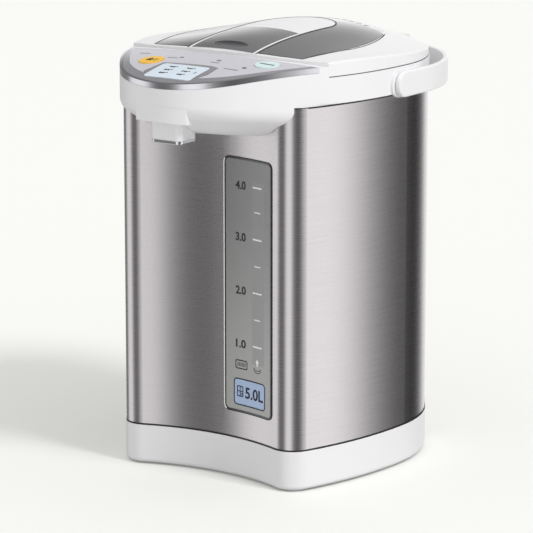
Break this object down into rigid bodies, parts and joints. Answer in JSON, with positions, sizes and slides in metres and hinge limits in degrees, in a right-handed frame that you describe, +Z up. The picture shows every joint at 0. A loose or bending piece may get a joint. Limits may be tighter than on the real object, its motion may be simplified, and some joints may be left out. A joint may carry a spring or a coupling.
{
  "type": "electric thermo pot",
  "caption": "Electric thermo pot with a brushed steel casing, white beak and lid, sloping control panel, level window, hinged lid with release lever and a swinging carry handle",
  "frame": {"origin": "on the standing surface, under the middle of the box that bounds the whole pot", "axes": "+Z up, the beak and spout face -Y, +X is the side with the level window (right seen from the front)"},
  "size_m": [0.2274, 0.3138, 0.3481],
  "materials": {
    "white_abs": "smooth semi-gloss white ABS",
    "brushed_steel": "horizontally brushed stainless steel",
    "vessel_steel": "satin stainless steel",
    "silver_plate": "satin silver lacquer",
    "grey_gloss": "glossy warm grey plastic",
    "chrome": "polished plating",
    "display_glass": "backlit pale blue display",
    "orange_key": "glossy orange key cap",
    "mint_key": "glossy mint key cap",
    "window_glass": "clear smoked acrylic",
    "scale_grey": "matte grey gauge plate",
    "tube_glass": "clear borosilicate tube",
    "silicone": "translucent silicone",
    "black_plastic": "matte black plastic",
    "rubber": "soft grey rubber",
    "zinc_steel": "bright zinc-plated steel",
    "brass": "bright brass",
    "board_green": "green circuit board",
    "mica_steel": "mica heater in a steel band",
    "motor_can": "zinc-plated motor can",
    "socket_grey": "light grey inlet shell"
  },
  "bodies": {
    "body": {"base_ring": "white_abs", "bottom_plate": "black_plastic", "rubber_feet": "rubber", "bottom_screws": "zinc_steel", "steel_shell": "brushed_steel", "window_frame": "chrome", "window_lens": "window_glass", "scale_plate": "scale_grey", "level_tube": "tube_glass", "upper_housing": "white_abs", "collar_ring": "white_abs", "hinge_lugs": "white_abs", "panel_plate": "silver_plate", "panel_band": "grey_gloss", "chrome_trim": "chrome", "display_window": "display_glass", "display_module": "black_plastic", "control_board": "board_green", "board_screws": "zinc_steel", "indicator_lenses": "display_glass", "spout_nozzle": "white_abs", "nozzle_rim": "chrome", "outlet_hose": "silicone", "inner_vessel": "vessel_steel", "mouth_ring": "white_abs", "band_heater": "mica_steel", "thermostat": "brass", "temperature_sensor": "zinc_steel", "support_posts": "black_plastic", "lower_hose": "silicone", "pump_housing": "black_plastic", "pump_motor": "motor_can", "motor_mount": "rubber", "tip_over_valve": "white_abs", "power_board": "board_green", "power_socket": "socket_grey", "socket_pins": "brass", "hinge_pin": "zinc_steel", "handle_pins": "white_abs"},
    "lid": {"lid_cover": "white_abs", "lid_lugs": "white_abs", "lid_inlay": "grey_gloss", "steam_vent": "grey_gloss", "lid_base": "white_abs", "lid_liner": "vessel_steel", "lid_gasket": "silicone", "steam_cap": "white_abs", "lever_pin": "zinc_steel"},
    "latch": {"latch_spring": "zinc_steel", "latch_bolt": "black_plastic"},
    "lever": {"release_lever": "white_abs", "lever_insert": "grey_gloss"},
    "lock_key": {"lock_button": "orange_key"},
    "dispense_key": {"dispense_button": "mint_key"},
    "impeller": {"pump_impeller": "black_plastic"},
    "ball": {"valve_ball": "zinc_steel"},
    "handle": {"handle_bail": "white_abs"}
  },
  "joints": [
    {"name": "lid_hinge", "type": "hinge", "parent": "body", "child": "lid", "pos_m": [0, 0.1383, 0.32295], "axis": [-1, 0, 0], "range_deg": [0, 80]},
    {"name": "lever_tilt", "type": "hinge", "parent": "lid", "child": "lever", "pos_m": [0, 0.0432, 0.3385], "axis": [1, 0, 0], "range_deg": [0, 1.4], "stiffness_Nm_per_rad": 6},
    {"name": "latch_slide", "type": "slide", "parent": "lid", "child": "latch", "axis": [0, 1, 0], "range_m": [0, 0.004], "stiffness_N_per_m": 60},
    {"name": "lock_key_press", "type": "slide", "parent": "body", "child": "lock_key", "axis": [0, 0, -1], "range_m": [0, 0.0008], "stiffness_N_per_m": 400},
    {"name": "dispense_key_press", "type": "slide", "parent": "body", "child": "dispense_key", "axis": [0, 0, -1], "range_m": [0, 0.0008], "stiffness_N_per_m": 400},
    {"name": "impeller_spin", "type": "hinge", "parent": "body", "child": "impeller", "pos_m": [0.022, -0.0228, 0.045], "axis": [0, 0, 1], "continuous": true},
    {"name": "ball_lift", "type": "slide", "parent": "body", "child": "ball", "axis": [0, 0, 1], "range_m": [0, 0.005]},
    {"name": "handle_swing", "type": "hinge", "parent": "body", "child": "handle", "pos_m": [0, 0.0137, 0.3093], "axis": [1, 0, 0], "range_deg": [0, 100]}
  ],
  "couplings": [
    {"joint": "latch_slide", "follows": "lever_tilt", "m_per_rad": 0.16}
  ]
}
